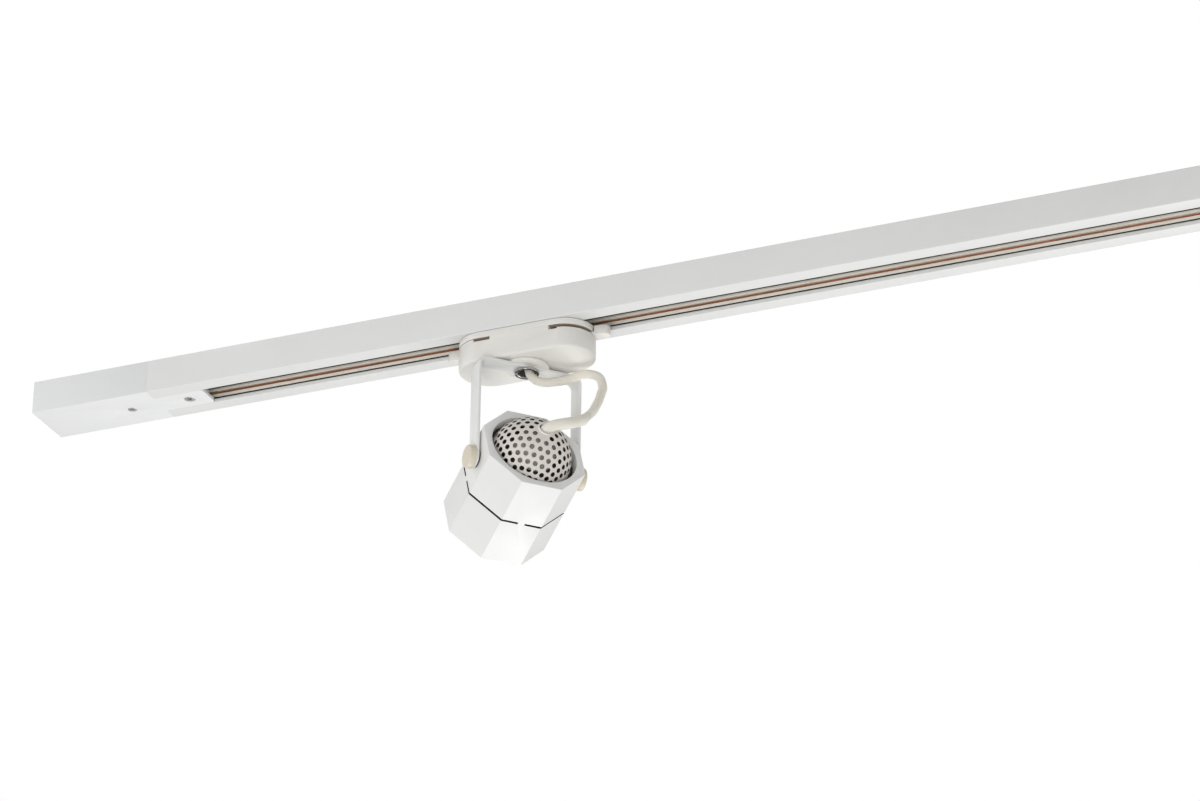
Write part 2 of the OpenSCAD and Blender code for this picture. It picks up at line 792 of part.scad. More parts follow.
module lamp_housing() {
    color(white) at_head() difference() {
        translate([0, 0, front_z]) linear_extrude(head_len) octagon(head_af);
        rod_z(front_z - over, shoulder_z, head_bore_d);
        rod_z(shoulder_z - over, rear_z + over, opening_d);
        slits();
        rod_x(-head_af, head_af, tilt_screw_d + 2 * fit);
    }
}

// The holes of a flat perforated sheet, as they lie once it is pressed into the dome
module perforations() {
    nearest = dome_hole_d / 2 + dome_collar_rim + perf_d / 2;
    farthest = acos((shoulder_z - dome_centre_z + perf_d) / dome_r);
    rows = ceil(2 * dome_r / perf_pitch);
    for (i = [-rows : rows], j = [-rows : rows]) let (
        along = perf_pitch * (i + j / 2),
        up = perf_pitch * sin(60) * j,
        x = along * cos(perf_turn) - up * sin(perf_turn) + perf_shift[0],
        y = along * sin(perf_turn) + up * cos(perf_turn) + perf_shift[1],
        lean = norm([x, y]) / dome_r * 180 / PI
    ) if (norm([x, y]) > nearest && lean < farthest)
        rotate([0, lean, atan2(y, x)]) translate([0, 0, dome_r - 2 * dome_t])
            cylinder(h = 3 * dome_t, d = perf_d);
}

module perforated_dome() {
    foot_d = head_bore_d - 2 * slip;
    color(warm_white) at_head() difference() {
        union() {
            intersection() {
                translate([0, 0, dome_centre_z]) sphere(dome_r);
                rod_z(dome_foot_z, dome_top_z + over, 2 * dome_r + over);
            }
            rod_z(dome_foot_z, shoulder_z, foot_d);
        }
        translate([0, 0, dome_centre_z]) {
            sphere(dome_r - dome_t);
            perforations();
        }
        rod_z(dome_centre_z + dome_r / 2, dome_top_z + over, dome_hole_d);
    }
}

module dome_collar() {
    seat_z = dome_centre_z + sqrt(pow(dome_r, 2) - pow(dome_hole_d / 2 + dome_collar_rim, 2));
    lip_z = dome_top_z + dome_collar_lip;
    bore_d = dome_hole_d - 2 * fit - 2 * dome_collar_wall;
    color(warm_white) at_head() difference() {
        union() {
            rod_z(seat_z - dome_t, lip_z, dome_hole_d - 2 * fit);
            difference() {
                rod_z(seat_z, lip_z, dome_hole_d + 2 * dome_collar_rim);
                translate([0, 0, dome_centre_z]) sphere(dome_r);
            }
        }
        rod_z(seat_z - dome_t - over, lip_z + over, bore_d);
    }
}

module mounting_plate() {
    color(black) at_head() difference() {
        rod_z(plate_in_z, dome_foot_z, head_bore_d - 2 * slip);
        rod_z(plate_in_z - over, dome_foot_z + over, holder_d + 2 * slip);
    }
}

module snap_ring() {
    color(black) at_head() difference() {
        rod_z(plate_in_z - ring_t, plate_in_z, head_bore_d - 2 * fit);
        rod_z(plate_in_z - ring_t - over, plate_in_z + over, head_bore_d - 2 * ring_w);
        translate([0, -head_bore_d / 2, plate_in_z - ring_t / 2])
            cube([ring_opening, 3 * ring_w, 2 * ring_t], center = true);
    }
}

// Ceramic lampholder with a flange on the plate and two holes for the lamp's pins
module lampholder() {
    flange_t = 2;
    flange_d = 1.4 * holder_d;
    foot_z = min(holder_z, dome_foot_z);
    color(ceramic) at_head() difference() {
        union() {
            rod_z(foot_z, holder_top, holder_d);
            rod_z(dome_foot_z, dome_foot_z + flange_t, flange_d);
        }
        rod_z(foot_z - over, holder_z, lamp_base_d + 2 * slip);
        for (sx = [-1, 1]) translate([sx * lamp_pin_pitch / 2, 0, 0])
            rod_z(holder_z - over, holder_z + lamp_pin_len, lamp_foot_d + 2 * slip);
    }
}

// Reflector lamp: a hollow bowl with rim, neck and base, turned about the head's axis, and two pins
module lamp_body() {
    rim_h = 6;
    neck_h = 12;
    bowl_h = lamp_len - rim_h - neck_h;
    rim_r = lamp_d / 2;
    base_r = lamp_base_d / 2;
    seat_z = lamp_front_z + lens_seat_h;
    pin_foot_z = lamp_back_z + lamp_pin_len - lamp_foot_h;
    color(ceramic) at_head() {
        difference() {
            translate([0, 0, lamp_front_z]) rotate_extrude() polygon([
                [0, 0], [rim_r, 0], [rim_r, rim_h], [0.88 * rim_r, rim_h + 0.3 * bowl_h],
                [0.68 * rim_r, rim_h + 0.65 * bowl_h], [base_r, rim_h + bowl_h], [base_r, lamp_len],
                [0, lamp_len]
            ]);
            rod_z(lamp_front_z - over, seat_z, lens_seat_d);
            translate([0, 0, seat_z - over])
                cylinder(h = reflector_h + over, d1 = reflector_d, d2 = reflector_back_d);
        }
        for (sx = [-1, 1]) translate([sx * lamp_pin_pitch / 2, 0, 0]) {
            rod_z(lamp_back_z - over, pin_foot_z, lamp_pin_d);
            rod_z(pin_foot_z, lamp_back_z + lamp_pin_len, lamp_foot_d);
        }
    }
}

module lamp_lens() {
    seat_z = lamp_front_z + lens_seat_h;
    color(glass) at_head() rod_z(seat_z - lens_t, seat_z, lens_seat_d - 2 * fit);
}

module front_ring() {
    color(white) at_head() difference() {
        rod_z(lamp_front_z - ring_t, lamp_front_z, head_bore_d - 2 * fit);
        rod_z(lamp_front_z - ring_t - over, lamp_front_z + over, head_bore_d - 2 * front_ring_w);
    }
}

// The two sides of the tilt axis
module both_sides() { for (m = [0, 1]) mirror([m, 0, 0]) children(); }

module tilt_knobs() {
    color(ivory) at_head() both_sides() difference() {
        translate([knob_in, 0, 0]) rotate([0, 90, 0]) rotate_extrude() {
            square([knob_d / 2, knob_t - knob_edge_r]);
            square([knob_d / 2 - knob_edge_r, knob_t]);
            translate([knob_d / 2 - knob_edge_r, knob_t - knob_edge_r]) circle(knob_edge_r);
        }
        rod_x(knob_in - over, tilt_screw_out, tilt_screw_d + 2 * fit);
    }
}

module tilt_screws() {
    color(steel) at_head() both_sides() rod_x(tilt_nut_out - tilt_nut_h, tilt_screw_out, tilt_screw_d);
}

module tilt_washers() {
    color(black) at_head() both_sides() difference() {
        rod_x(head_af / 2, head_af / 2 + washer_t, strap_w - over);
        rod_x(head_af / 2 - over, arm_in, tilt_screw_d + 2 * fit);
    }
}

module tilt_nuts() {
    color(black) at_head() both_sides() difference() {
        translate([tilt_nut_out - tilt_nut_h, 0, 0]) rotate([0, 90, 0])
            cylinder(h = tilt_nut_h, d = tilt_nut_af / cos(30), $fn = 6);
        rod_x(tilt_nut_out - 2 * tilt_nut_h, tilt_nut_out + over, tilt_screw_d + 2 * fit);
    }
}

track_profile();
liner_near();
liner_far();
conductor_near();
conductor_far();
end_cap();
feed_cover();
feed_base();
feed_terminal_block();
feed_terminal_screws();
feed_contact_near();
feed_contact_far();
feed_cover_screw();
feed_lock_screw();
adapter_body();
adapter_top_plate();
adapter_screws();
lock_lever_left();
lock_lever_right();
lock_cam_left();
lock_cam_right();
contact_blade_left();
contact_blade_right();
swivel_disc();
swivel_nipple();
swivel_washer();
swivel_nut();
yoke_strap();
lamp_cord();
lamp_housing();
perforated_dome();
dome_collar();
mounting_plate();
snap_ring();
lampholder();
lamp_body();
lamp_lens();
front_ring();
tilt_knobs();
tilt_screws();
tilt_washers();
tilt_nuts();
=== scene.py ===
import json
import math
import bmesh
import bpy
from mathutils import Matrix, Vector


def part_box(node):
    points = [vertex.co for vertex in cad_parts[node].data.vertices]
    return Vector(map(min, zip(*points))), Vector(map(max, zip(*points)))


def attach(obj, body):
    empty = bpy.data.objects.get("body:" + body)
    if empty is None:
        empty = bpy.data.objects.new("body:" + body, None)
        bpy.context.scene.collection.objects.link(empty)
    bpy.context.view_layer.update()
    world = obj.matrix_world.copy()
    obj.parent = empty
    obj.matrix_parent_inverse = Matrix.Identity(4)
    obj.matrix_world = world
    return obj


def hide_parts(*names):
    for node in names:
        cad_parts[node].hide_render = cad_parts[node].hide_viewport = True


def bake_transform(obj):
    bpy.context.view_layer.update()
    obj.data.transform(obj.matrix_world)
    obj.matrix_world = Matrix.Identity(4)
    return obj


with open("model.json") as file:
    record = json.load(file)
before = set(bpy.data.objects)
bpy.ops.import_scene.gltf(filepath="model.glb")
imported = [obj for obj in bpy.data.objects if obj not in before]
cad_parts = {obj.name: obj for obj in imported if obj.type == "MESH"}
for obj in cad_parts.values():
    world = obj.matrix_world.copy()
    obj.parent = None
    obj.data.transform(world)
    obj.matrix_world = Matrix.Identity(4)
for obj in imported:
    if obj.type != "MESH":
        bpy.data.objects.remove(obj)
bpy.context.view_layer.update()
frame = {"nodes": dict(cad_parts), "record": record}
nodes = frame["nodes"]
record = frame["record"]
slotOf = {sub["node"]: sub["material_slot"] for sub in record["subparts"]}
bodyOf = {node: body for body, members in record["behaviour"]["bodies"].items() for node in members}
scene = bpy.context.scene
mm = 0.001


# Camera at the photo's angle: below the track and a little to the right
photoCamera = {
    "place": (0.6895, -2.13285, -1.21139),
    "azimuth": 23.2227,
    "elevation": 26.2494,
    "roll": 0.7534,
    "lens": 141.52,
    "sensor": 36.0,
    "clip": (0.05, 50),
}


def setCamera(view):
    azimuth, elevation, roll = (math.radians(view[k]) for k in ("azimuth", "elevation", "roll"))
    ahead = Vector((-math.sin(azimuth) * math.cos(elevation), math.cos(azimuth) * math.cos(elevation),
                    math.sin(elevation)))
    right = Vector((math.cos(azimuth), math.sin(azimuth), 0))
    up = right.cross(ahead)
    camRight = math.cos(roll) * right + math.sin(roll) * up
    camUp = math.cos(roll) * up - math.sin(roll) * right
    data = bpy.data.cameras.new("photoCamera")
    data.lens, data.sensor_width, data.sensor_fit = view["lens"], view["sensor"], "HORIZONTAL"
    data.clip_start, data.clip_end = view["clip"]
    camera = bpy.data.objects.new("photoCamera", data)
    turn = Matrix((camRight, camUp, -ahead)).transposed()
    camera.matrix_world = Matrix.Translation(view["place"]) @ turn.to_4x4()
    scene.collection.objects.link(camera)
    scene.camera = camera


setCamera(photoCamera)
print("camera set")


# Where the yoke and the head stand: panned under the adapter, then tilted on the knobs
pose = {"adapterX": -270.0, "pan": 47.7, "pivotZ": -100.2, "tilt": 67.1}
yokePlace = (Matrix.Translation((pose["adapterX"] * mm, 0, 0))
             @ Matrix.Rotation(math.radians(pose["pan"]), 4, "Z"))
headPlace = (yokePlace @ Matrix.Translation((0, 0, pose["pivotZ"] * mm))
             @ Matrix.Rotation(math.radians(pose["tilt"]), 4, "X"))


# Node helpers, for shader and geometry trees alike
def link(tree, a, b):
    tree.links.new(a, b)


def addNode(tree, kind, **values):
    node = tree.nodes.new(kind)
    for key, value in values.items():
        setattr(node, key, value)
    return node


# Links one socket to another, or sets a plain value on it
def setOrLink(tree, value, socket):
    if hasattr(value, "is_output"):
        link(tree, value, socket)
    else:
        socket.default_value = value


# Mesh helpers: corners closer than weldDist, in metres, are merged, and the angles are in degrees
weldDist = 1e-6
flatAngle = 0.5
creaseAngle = 35


def placeMesh(name, mesh, *materials):
    obj = bpy.data.objects.new(name, mesh)
    scene.collection.objects.link(obj)
    mesh.materials.clear()
    for mat in materials:
        mesh.materials.append(mat)
    return obj


def frozenMesh(obj):
    mesh = bpy.data.meshes.new_from_object(obj.evaluated_get(bpy.context.evaluated_depsgraph_get()))
    obj.modifiers.clear()
    return mesh


def smoothShade(mesh, sharpFrom=None):
    mesh.polygons.foreach_set("use_smooth", [True] * len(mesh.polygons))
    if sharpFrom:
        mesh.set_sharp_from_angle(angle=math.radians(sharpFrom))


def circle(radius, z, sides):
    turns = [2 * math.pi * k / sides for k in range(sides)]
    return [(radius * math.cos(turn), radius * math.sin(turn), z) for turn in turns]


# A node's mesh with its doubled corners merged, and its flat faces joined where asked
def mergedCopy(node, joinFlat=False):
    mesh = nodes[node].data.copy()
    work = bmesh.new()
    work.from_mesh(mesh)
    bmesh.ops.remove_doubles(work, verts=work.verts, dist=weldDist)
    if joinFlat:
        bmesh.ops.dissolve_limit(work, angle_limit=math.radians(flatAngle),
                                 verts=work.verts, edges=work.edges)
    work.to_mesh(mesh)
    work.free()
    return mesh


# Makes a piece stand for a node: it goes on the node's body and the node is hidden
def standFor(piece, node):
    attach(piece, bodyOf[node])
    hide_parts(node)


def newTree(name, ins):
    tree = bpy.data.node_groups.new(name, "GeometryNodeTree")
    tree.interface.new_socket("Geometry", in_out="INPUT", socket_type="NodeSocketGeometry")
    for label, kind in ins:
        tree.interface.new_socket(label, in_out="INPUT", socket_type=kind)
    tree.interface.new_socket("Geometry", in_out="OUTPUT", socket_type="NodeSocketGeometry")
    return tree, addNode(tree, "NodeGroupInput"), addNode(tree, "NodeGroupOutput")


def endTree(tree, given, out, shape):
    real = addNode(tree, "GeometryNodeRealizeInstances")
    paint = addNode(tree, "GeometryNodeSetMaterial")
    link(tree, shape, real.inputs["Geometry"])
    link(tree, real.outputs["Geometry"], paint.inputs["Geometry"])
    link(tree, given.outputs["Material"], paint.inputs["Material"])
    link(tree, paint.outputs["Geometry"], out.inputs["Geometry"])


# Runs a tree on a seed mesh and keeps the result as a plain mesh
def grow(name, seed, tree, values):
    obj = placeMesh(name + "Seed", seed)
    maker = obj.modifiers.new("grow", "NODES")
    maker.node_group = tree
    for item in tree.interface.items_tree:
        if item.in_out == "INPUT" and item.name in values:
            maker[item.identifier] = values[item.name]
    mesh = frozenMesh(obj)
    bpy.data.objects.remove(obj)
    return mesh


# Shader helpers
def newMaterial(name):
    mat = bpy.data.materials.new(name)
    mat.use_nodes = True
    tree = mat.node_tree
    shader = next(n for n in tree.nodes if n.type == "BSDF_PRINCIPLED")
    return mat, tree, shader


def newGroup(name, ins, outs):
    group = bpy.data.node_groups.new(name, "ShaderNodeTree")
    for label, kind, value in ins:
        socket = group.interface.new_socket(label, in_out="INPUT", socket_type=kind)
        socket.default_value = value
    for label, kind in outs:
        group.interface.new_socket(label, in_out="OUTPUT", socket_type=kind)
    return group, addNode(group, "NodeGroupInput"), addNode(group, "NodeGroupOutput")


def noise(tree, coords, scale, detail=3.0, rough=0.5):
    node = addNode(tree, "ShaderNodeTexNoise")
    node.inputs["Detail"].default_value = detail
    node.inputs["Roughness"].default_value = rough
    link(tree, coords, node.inputs["Vector"])
    setOrLink(tree, scale, node.inputs["Scale"])
    return node.outputs["Fac"]


def maths(tree, op, a, b, clamp=False):
    node = addNode(tree, "ShaderNodeMath", operation=op, use_clamp=clamp)
    setOrLink(tree, a, node.inputs[0])
    setOrLink(tree, b, node.inputs[1])
    return node.outputs[0]


def spread(tree, value, low, high, outLow=0.0, outHigh=1.0):
    node = addNode(tree, "ShaderNodeMapRange")
    link(tree, value, node.inputs["Value"])
    for label, number in (("From Min", low), ("From Max", high), ("To Min", outLow), ("To Max", outHigh)):
        setOrLink(tree, number, node.inputs[label])
    return node.outputs["Result"]


# Fine texture of a coat of paint or a moulded skin: two sizes of grain, a slow cloud and sparse specks
skinLook = {"fineScale": 3.1, "fineShare": 0.4, "speckScale": 22.0, "cloudRough": 0.55,
            "cloudRange": (0.3, 0.7), "speckRange": (0.72, 0.8)}


def makeSkinGroup(look):
    group, given, out = newGroup("skinTexture", [
        ("Coords", "NodeSocketVector", (0, 0, 0)),
        ("Grain Scale", "NodeSocketFloat", 1800.0),
        ("Cloud Scale", "NodeSocketFloat", 45.0),
    ], [("Height", "NodeSocketFloat"), ("Cloud", "NodeSocketFloat"), ("Speck", "NodeSocketFloat")])
    coords, grain, cloud = (given.outputs[k] for k in ("Coords", "Grain Scale", "Cloud Scale"))
    coarse = noise(group, coords, grain, detail=2.0)
    fine = noise(group, coords, maths(group, "MULTIPLY", grain, look["fineScale"]), detail=1.0)
    height = maths(group, "ADD", coarse, maths(group, "MULTIPLY", fine, look["fineShare"]))
    link(group, height, out.inputs["Height"])
    slow = noise(group, coords, cloud, rough=look["cloudRough"])
    link(group, spread(group, slow, *look["cloudRange"]), out.inputs["Cloud"])
    specks = noise(group, coords, maths(group, "MULTIPLY", cloud, look["speckScale"]), detail=1.0)
    link(group, spread(group, specks, *look["speckRange"]), out.inputs["Speck"])
    return group


# Fine dust in patches, on faces that look up
dustLook = {"scale": 120.0, "detail": 4.0, "rough": 0.6, "upward": (0.35, 0.95), "patches": (0.35, 0.7),
            "colour": (0.55, 0.53, 0.5), "roughens": 0.4}


def makeDustGroup(look):
    group, given, out = newGroup("settledDust", [
        ("Coords", "NodeSocketVector", (0, 0, 0)),
        ("Amount", "NodeSocketFloat", 0.3),
    ], [("Mask", "NodeSocketFloat")])
    facing = addNode(group, "ShaderNodeNewGeometry")
    split = addNode(group, "ShaderNodeSeparateXYZ")
    link(group, facing.outputs["Normal"], split.inputs[0])
    upward = spread(group, split.outputs["Z"], *look["upward"])
    drift = noise(group, given.outputs["Coords"], look["scale"], look["detail"], look["rough"])
    settled = maths(group, "MULTIPLY", upward, spread(group, drift, *look["patches"]))
    link(group, maths(group, "MULTIPLY", settled, given.outputs["Amount"]), out.inputs["Mask"])
    return group


skinGroup = makeSkinGroup(skinLook)
dustGroup = makeDustGroup(dustLook)


def objectCoords(tree):
    return addNode(tree, "ShaderNodeTexCoord").outputs["Object"]


def useGroup(tree, group, coords, **values):
    node = addNode(tree, "ShaderNodeGroup", node_tree=group)
    link(tree, coords, node.inputs["Coords"])
    for label, value in values.items():
        node.inputs[label.replace("_", " ")].default_value = value
    return node


def mixColour(tree, factor, a, b):
    node = addNode(tree, "ShaderNodeMix", data_type="RGBA")
    link(tree, factor, node.inputs["Factor"])
    for socket, value in ((node.inputs[6], a), (node.inputs[7], b)):  # the colour sockets
        setOrLink(tree, (*value, 1) if isinstance(value, tuple) else value, socket)
    return node.outputs[2]


# Depth of the fine relief, and how far light of each colour spreads in a moulded skin
grainDepth = 0.0002
glowReach = (1.0, 0.8, 0.6)


def addBump(tree, shader, height, strength):
    bump = addNode(tree, "ShaderNodeBump")
    bump.inputs["Strength"].default_value = strength
    bump.inputs["Distance"].default_value = grainDepth
    link(tree, height, bump.inputs["Height"])
    link(tree, bump.outputs["Normal"], shader.inputs["Normal"])


# A coated or moulded finish: its colour drifts a little, its gloss varies and its skin has a grain
def makeFinish(name, spec):
    mat, tree, shader = newMaterial(name)
    coords = objectCoords(tree)
    skin = useGroup(tree, skinGroup, coords, Grain_Scale=spec["grain"], Cloud_Scale=spec["cloud"])
    dust = useGroup(tree, dustGroup, coords, Amount=spec["dust"])
    drift = mixColour(tree, skin.outputs["Cloud"], spec["colour"], spec["shade"])
    specks = maths(tree, "MULTIPLY", skin.outputs["Speck"], spec["speck"])
    speckled = mixColour(tree, specks, drift, spec["dark"])
    dusty = mixColour(tree, dust.outputs["Mask"], speckled, dustLook["colour"])
    link(tree, dusty, shader.inputs["Base Color"])
    gloss = spread(tree, skin.outputs["Cloud"], 0.0, 1.0, spec["rough"], spec["rough"] + spec["roughDrift"])
    dulled = maths(tree, "MULTIPLY", dust.outputs["Mask"], dustLook["roughens"])
    link(tree, maths(tree, "ADD", gloss, dulled, True), shader.inputs["Roughness"])
    addBump(tree, shader, skin.outputs["Height"], spec["bump"])
    shader.inputs["Metallic"].default_value = spec.get("metal", 0.0)
    shader.inputs["Specular IOR Level"].default_value = spec.get("specular", 0.5)
    shader.inputs["Subsurface Weight"].default_value = spec.get("glow", 0.0)
    shader.inputs["Subsurface Radius"].default_value = glowReach
    shader.inputs["Subsurface Scale"].default_value = spec.get("glowDepth", 0.001)
    return mat


trackPaint = makeFinish("trackPaint", {
    "colour": (0.735, 0.74, 0.73), "shade": (0.705, 0.71, 0.70), "dark": (0.5, 0.5, 0.48), "speck": 0.1,
    "grain": 900.0, "cloud": 18.0, "rough": 0.36, "roughDrift": 0.1, "bump": 0.12, "dust": 0.25})
feedPlastic = makeFinish("feedPlastic", {
    "colour": (0.768, 0.773, 0.773), "shade": (0.74, 0.745, 0.745), "dark": (0.5, 0.5, 0.48), "speck": 0.08,
    "grain": 1500.0, "cloud": 24.0, "rough": 0.42, "roughDrift": 0.1, "bump": 0.15, "dust": 0.25})
adapterPlastic = makeFinish("adapterPlastic", {
    "colour": (0.79, 0.77, 0.735), "shade": (0.76, 0.74, 0.70), "dark": (0.45, 0.42, 0.36), "speck": 0.1,
    "grain": 1600.0, "cloud": 35.0, "rough": 0.4, "roughDrift": 0.12, "bump": 0.14, "dust": 0.25,
    "glow": 0.08, "glowDepth": 0.0015})
lampPaint = makeFinish("lampPaint", {
    "colour": (0.79, 0.79, 0.775), "shade": (0.76, 0.76, 0.745), "dark": (0.5, 0.5, 0.48), "speck": 0.08,
    "grain": 1100.0, "cloud": 30.0, "rough": 0.38, "roughDrift": 0.1, "bump": 0.14, "dust": 0.3})
ivoryPlastic = makeFinish("ivoryPlastic", {
    "colour": (0.69, 0.625, 0.51), "shade": (0.655, 0.585, 0.47), "dark": (0.4, 0.34, 0.26), "speck": 0.1,
    "grain": 1400.0, "cloud": 60.0, "rough": 0.36, "roughDrift": 0.1, "bump": 0.12, "dust": 0.2,
    "glow": 0.05, "glowDepth": 0.001})
linerPlastic = makeFinish("linerPlastic", {
    "colour": (0.93, 0.90, 0.835), "shade": (0.88, 0.845, 0.775), "dark": (0.3, 0.3, 0.28), "speck": 0.1,
    "grain": 1200.0, "cloud": 20.0, "rough": 0.5, "roughDrift": 0.1, "bump": 0.1, "dust": 0.2})
ceramicBody = makeFinish("ceramicBody", {
    "colour": (0.80, 0.78, 0.72), "shade": (0.74, 0.72, 0.66), "dark": (0.4, 0.38, 0.33), "speck": 0.25,
    "grain": 2200.0, "cloud": 70.0, "rough": 0.62, "roughDrift": 0.15, "bump": 0.25, "dust": 0.3})
domeSheet = makeFinish("domeSheet", {
    "colour": (0.745, 0.705, 0.66), "shade": (0.695, 0.655, 0.605), "dark": (0.4, 0.4, 0.38), "speck": 0.1,
    "grain": 1300.0, "cloud": 60.0, "rough": 0.58, "roughDrift": 0.12, "bump": 0.08, "dust": 0.1,
    "specular": 0.2})
steelBare = makeFinish("steelBare", {
    "colour": (0.56, 0.56, 0.55), "shade": (0.47, 0.47, 0.46), "dark": (0.2, 0.19, 0.18), "speck": 0.3,
    "grain": 2600.0, "cloud": 90.0, "rough": 0.32, "roughDrift": 0.18, "bump": 0.12, "dust": 0.1,
    "metal": 1.0})
# Black steel for the parts in that finish, and the dark finish of the painted shade in the head, the liners'
# grooves and the nipple's bore
blackSteelAndShade = makeFinish("blackSteelAndShade", {
    "colour": (0.06, 0.057, 0.054), "shade": (0.045, 0.043, 0.04), "dark": (0.03, 0.03, 0.03), "speck": 0.3,
    "grain": 2600.0, "cloud": 90.0, "rough": 0.5, "roughDrift": 0.18, "bump": 0.12, "dust": 0.1,
    "metal": 0.3})
# Black fibre, dark also as painted shade in the gaps between the tilt arms and the head
blackFibreAndShade = makeFinish("blackFibreAndShade", {
    "colour": (0.07, 0.067, 0.064), "shade": (0.055, 0.053, 0.05), "dark": (0.03, 0.03, 0.03), "speck": 0.3,
    "grain": 2000.0, "cloud": 90.0, "rough": 0.7, "roughDrift": 0.15, "bump": 0.2, "dust": 0.1})
# Painted shade for the adapter's lever slots: a brown dark finish
slotShade = makeFinish("slotShade", {
    "colour": (0.34, 0.27, 0.21), "shade": (0.28, 0.22, 0.17), "dark": (0.12, 0.1, 0.08), "speck": 0.3,
    "grain": 1600.0, "cloud": 60.0, "rough": 0.7, "roughDrift": 0.15, "bump": 0.14, "dust": 0.1})
chromePlate = makeFinish("chromePlate", {
    "colour": (0.56, 0.555, 0.55), "shade": (0.50, 0.495, 0.49), "dark": (0.25, 0.25, 0.25), "speck": 0.1,
    "grain": 3000.0, "cloud": 80.0, "rough": 0.1, "roughDrift": 0.08, "bump": 0.03, "dust": 0.1,
    "metal": 1.0})
copperStrip = makeFinish("copperStrip", {
    "colour": (0.62, 0.29, 0.15), "shade": (0.48, 0.22, 0.12), "dark": (0.15, 0.07, 0.04), "speck": 0.4,
    "grain": 1500.0, "cloud": 50.0, "rough": 0.34, "roughDrift": 0.2, "bump": 0.12, "dust": 0.0,
    "metal": 1.0})
brassSheet = makeFinish("brassSheet", {
    "colour": (0.72, 0.53, 0.24), "shade": (0.62, 0.44, 0.19), "dark": (0.25, 0.17, 0.07), "speck": 0.3,
    "grain": 2200.0, "cloud": 90.0, "rough": 0.3, "roughDrift": 0.2, "bump": 0.1, "dust": 0.0,
    "metal": 1.0})


# Cord sleeve: a fine braid that follows the cord, slightly translucent
def makeSleeve(name, spec):
    mat, tree, shader = newMaterial(name)
    coords = objectCoords(tree)
    skin = useGroup(tree, skinGroup, coords, Grain_Scale=spec["grain"], Cloud_Scale=spec["cloud"])
    uv = addNode(tree, "ShaderNodeUVMap", uv_map="cordWrap")
    split = addNode(tree, "ShaderNodeSeparateXYZ")
    link(tree, uv.outputs["UV"], split.inputs[0])
    along = maths(tree, "MULTIPLY", split.outputs["X"], spec["braidAlong"])
    around = maths(tree, "MULTIPLY", split.outputs["Y"], spec["braidAround"])
    waves = []
    for way in ("ADD", "SUBTRACT"):
        turns = maths(tree, "MULTIPLY", maths(tree, way, along, around), 2 * math.pi)
        waves.append(maths(tree, "SINE", turns, 0.0))
    braid = spread(tree, maths(tree, "MULTIPLY", *waves), -1.0, 1.0)
    tone = mixColour(tree, skin.outputs["Cloud"], spec["colour"], spec["shade"])
    threads = maths(tree, "MULTIPLY", braid, spec["braidShade"])
    link(tree, mixColour(tree, threads, tone, spec["dark"]), shader.inputs["Base Color"])
    gloss = spread(tree, braid, 0.0, 1.0, spec["rough"], spec["rough"] + spec["roughDrift"])
    link(tree, gloss, shader.inputs["Roughness"])
    addBump(tree, shader, braid, spec["bump"])
    shader.inputs["Subsurface Weight"].default_value = spec["glow"]
    shader.inputs["Subsurface Radius"].default_value = spec["glowReach"]
    shader.inputs["Subsurface Scale"].default_value = spec["glowDepth"]
    return mat


# Lens glass: clear, with a faint drift in its polish
def makeGlass(name, spec):
    mat, tree, shader = newMaterial(name)
    skin = useGroup(tree, skinGroup, objectCoords(tree), Grain_Scale=spec["grain"], Cloud_Scale=spec["cloud"])
    cloud = skin.outputs["Cloud"]
    gloss = spread(tree, cloud, 0.0, 1.0, spec["rough"], spec["rough"] + spec["roughDrift"])
    link(tree, gloss, shader.inputs["Roughness"])
    link(tree, mixColour(tree, cloud, spec["colour"], spec["shade"]), shader.inputs["Base Color"])
    shader.inputs["Transmission Weight"].default_value = 1.0
    shader.inputs["IOR"].default_value = spec["ior"]
    return mat


cordSleeve = makeSleeve("cordSleeve", {
    "colour": (0.775, 0.755, 0.695), "shade": (0.74, 0.715, 0.645), "dark": (0.62, 0.59, 0.50),
    "grain": 1500.0, "cloud": 70.0, "rough": 0.42, "roughDrift": 0.15, "bump": 0.35,
    "braidAlong": 0.5, "braidAround": 9.0, "braidShade": 0.35,
    "glow": 0.8, "glowReach": (1.0, 0.9, 0.75), "glowDepth": 0.003})
lensGlass = makeGlass("lensGlass", {
    "colour": (0.97, 0.98, 0.98), "shade": (0.94, 0.96, 0.96), "grain": 700.0, "cloud": 50.0, "rough": 0.03,
    "roughDrift": 0.03, "ior": 1.46})
print("finishes made")

# Inside the dome the black steel parts are also painted shade that keeps the dome's holes dark, and the black
# fibre washers also stand for the shade in the gaps between the arms and the head
finishOf = {
    "track_white": trackPaint, "liner": linerPlastic, "copper": copperStrip, "feed_white": feedPlastic,
    "feed_inner": ceramicBody, "brass": brassSheet, "steel": steelBare, "black_steel": blackSteelAndShade,
    "black_fibre": blackFibreAndShade, "adapter_white": adapterPlastic,
    "cam": ivoryPlastic, "chrome": chromePlate, "lamp_white": lampPaint, "dome_grey": domeSheet,
    "ivory": ivoryPlastic, "cord": cordSleeve, "ceramic": ceramicBody, "glass": lensGlass,
}
for node, slot in slotOf.items():
    nodes[node].data.materials.clear()
    nodes[node].data.materials.append(finishOf[slot])
print("finishes on the nodes")


